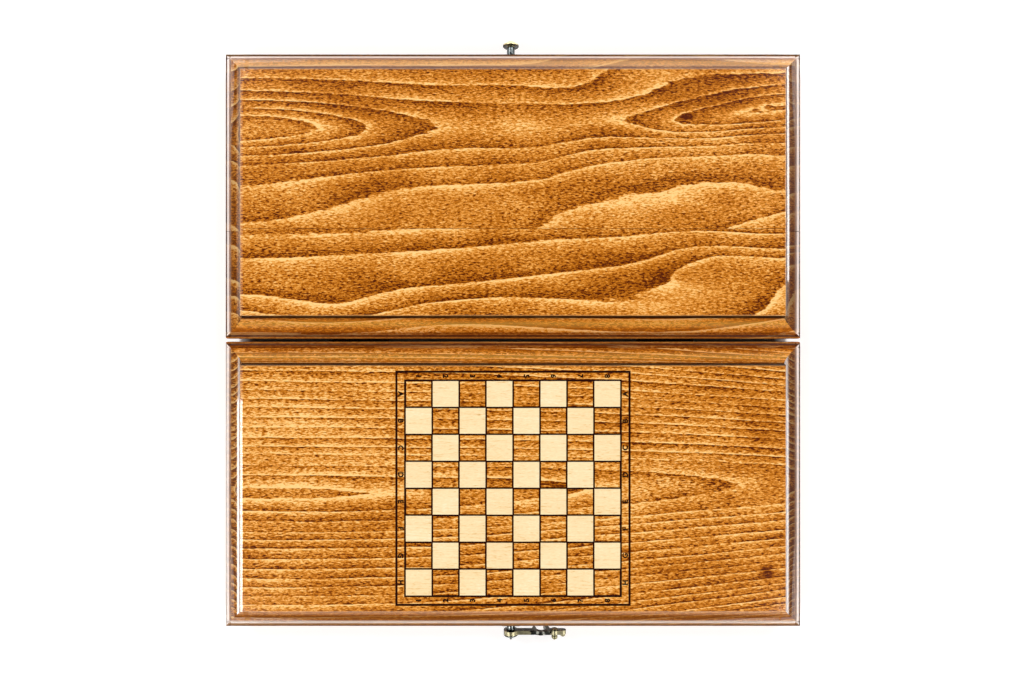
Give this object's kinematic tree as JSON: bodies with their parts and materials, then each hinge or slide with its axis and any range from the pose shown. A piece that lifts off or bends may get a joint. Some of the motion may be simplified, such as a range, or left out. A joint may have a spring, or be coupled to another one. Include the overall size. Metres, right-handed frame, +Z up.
{
  "type": "folding backgammon board",
  "caption": "Folding wooden backgammon case laid open face down, with moulded outer panels, a small inlaid chessboard, butt hinges, a stud and a swing hook.",
  "frame": {"origin": "bottom centre of the case as it lies open and face down: on the hinge line, at the lowest point of the hinge barrels", "axes": "+X along the hinge line, +Y towards the front of the plain tray, +Z up through the moulded panels"},
  "size_m": [0.4, 0.4232, 0.0347],
  "materials": {
    "beech": "honey brown stain under gloss varnish",
    "pale_inlay": "pale inlay under gloss varnish",
    "dark_inlay": "dark stained inlay under gloss varnish",
    "hinge_brass": "brass plate, lightly worn",
    "stud_brass": "antique brass",
    "latch_bronze": "blackened antique brass, bright on the edges"
  },
  "bodies": {
    "chess_tray": {"chess_panel": "beech", "chess_back_wall": "beech", "chess_front_wall": "beech", "chess_left_wall": "beech", "chess_right_wall": "beech", "chess_play_board": "beech", "chess_light_squares": "pale_inlay", "chess_light_points": "pale_inlay", "chess_dark_points": "dark_inlay", "left_hinge_chess_leaf": "hinge_brass", "left_hinge_pin": "hinge_brass", "right_hinge_chess_leaf": "hinge_brass", "right_hinge_pin": "hinge_brass", "chess_hinge_screws": "hinge_brass", "latch_back_plate": "latch_bronze", "latch_nails": "latch_bronze", "latch_pivot": "latch_bronze"},
    "plain_tray": {"plain_panel_wide_stave": "beech", "plain_panel_narrow_stave": "beech", "plain_back_wall": "beech", "plain_front_wall": "beech", "plain_left_wall": "beech", "plain_right_wall": "beech", "plain_play_board": "beech", "plain_light_points": "pale_inlay", "plain_dark_points": "dark_inlay", "left_hinge_plain_leaf": "hinge_brass", "right_hinge_plain_leaf": "hinge_brass", "plain_hinge_screws": "hinge_brass", "latch_stud": "stud_brass"},
    "hook": {"latch_hook": "latch_bronze", "latch_grip": "latch_bronze"}
  },
  "joints": [
    {"name": "tray_fold", "type": "hinge", "parent": "chess_tray", "child": "plain_tray", "pos_m": [0, 0, 0.0016], "axis": [-1, 0, 0], "range_deg": [0, 180]},
    {"name": "hook_swing", "type": "hinge", "parent": "chess_tray", "child": "hook", "pos_m": [-0.0015, -0.2059, 0.01295], "axis": [0, 1, 0], "range_deg": [-96.95, 83.05]}
  ]
}
